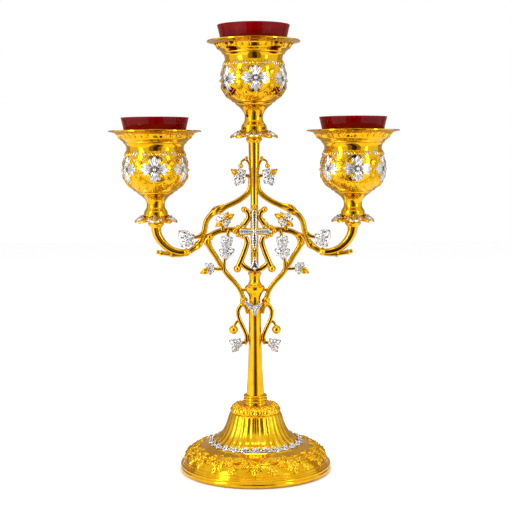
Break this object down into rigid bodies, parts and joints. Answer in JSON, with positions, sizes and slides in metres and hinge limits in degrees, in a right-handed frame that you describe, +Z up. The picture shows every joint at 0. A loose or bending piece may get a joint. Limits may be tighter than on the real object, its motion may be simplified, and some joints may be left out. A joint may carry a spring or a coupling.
{
  "type": "votive candle stand",
  "caption": "Gilt votive stand: fluted round base, turned stem, vine arms round a silver cross, and flared cups that hold lift-out ruby vigil glasses.",
  "frame": {"origin": "on the floor under the stem's axis, at the centre of the base", "axes": "+Z up the stem, X across the two arms, -Y towards the front that shows the cross"},
  "size_m": [0.2894, 0.1534, 0.4454],
  "materials": {
    "gold": "polished gilt cast metal",
    "silver": "bright silver-plated relief",
    "ruby_glass": "clear deep red glass",
    "steel": "plain steel fastener"
  },
  "bodies": {
    "stand": {"base_bead_ring": "silver", "base_bell": "gold", "base_foot": "gold", "base_leaf_collar": "gold", "base_neck_ring": "gold", "base_nut": "steel", "base_washer": "steel", "cross_foot": "silver", "cross_fret": "gold", "cup_nuts": "steel", "front_trefoil": "silver", "knop": "gold", "left_arm": "gold", "left_arm_leaf": "silver", "left_baluster": "gold", "left_berry": "gold", "left_bottom_leaf": "silver", "left_cup": "gold", "left_drip_pan": "gold", "left_heart_branch": "gold", "left_inner_lower_leaf": "silver", "left_inner_middle_leaf": "silver", "left_inner_upper_leaf": "silver", "left_lower_scroll": "gold", "left_outer_lower_leaf": "silver", "left_socket_ring": "gold", "left_tendril": "gold", "left_upper_leaf": "silver", "lower_stem": "gold", "right_arm": "gold", "right_arm_leaf": "silver", "right_baluster": "gold", "right_berry": "gold", "right_bottom_leaf": "silver", "right_cup": "gold", "right_drip_pan": "gold", "right_heart_branch": "gold", "right_inner_lower_leaf": "silver", "right_inner_middle_leaf": "silver", "right_inner_upper_leaf": "silver", "right_lower_scroll": "gold", "right_outer_lower_leaf": "silver", "right_socket_ring": "gold", "right_tendril": "gold", "right_upper_leaf": "silver", "side_cup_studs": "steel", "silver_cross": "silver", "tie_rod": "steel", "top_baluster": "gold", "top_cup": "gold", "top_drip_pan": "gold", "top_socket_ring": "gold", "upper_stem": "gold"},
    "top_glass_body": {"top_glass": "ruby_glass"},
    "left_glass_body": {"left_glass": "ruby_glass"},
    "right_glass_body": {"right_glass": "ruby_glass"}
  },
  "joints": [
    {"name": "top_glass_lift", "type": "slide", "parent": "stand", "child": "top_glass_body", "axis": [0, 0, 1], "range_m": [0, 0.075]},
    {"name": "left_glass_lift", "type": "slide", "parent": "stand", "child": "left_glass_body", "axis": [0, 0, 1], "range_m": [0, 0.075]},
    {"name": "right_glass_lift", "type": "slide", "parent": "stand", "child": "right_glass_body", "axis": [0, 0, 1], "range_m": [0, 0.075]}
  ]
}
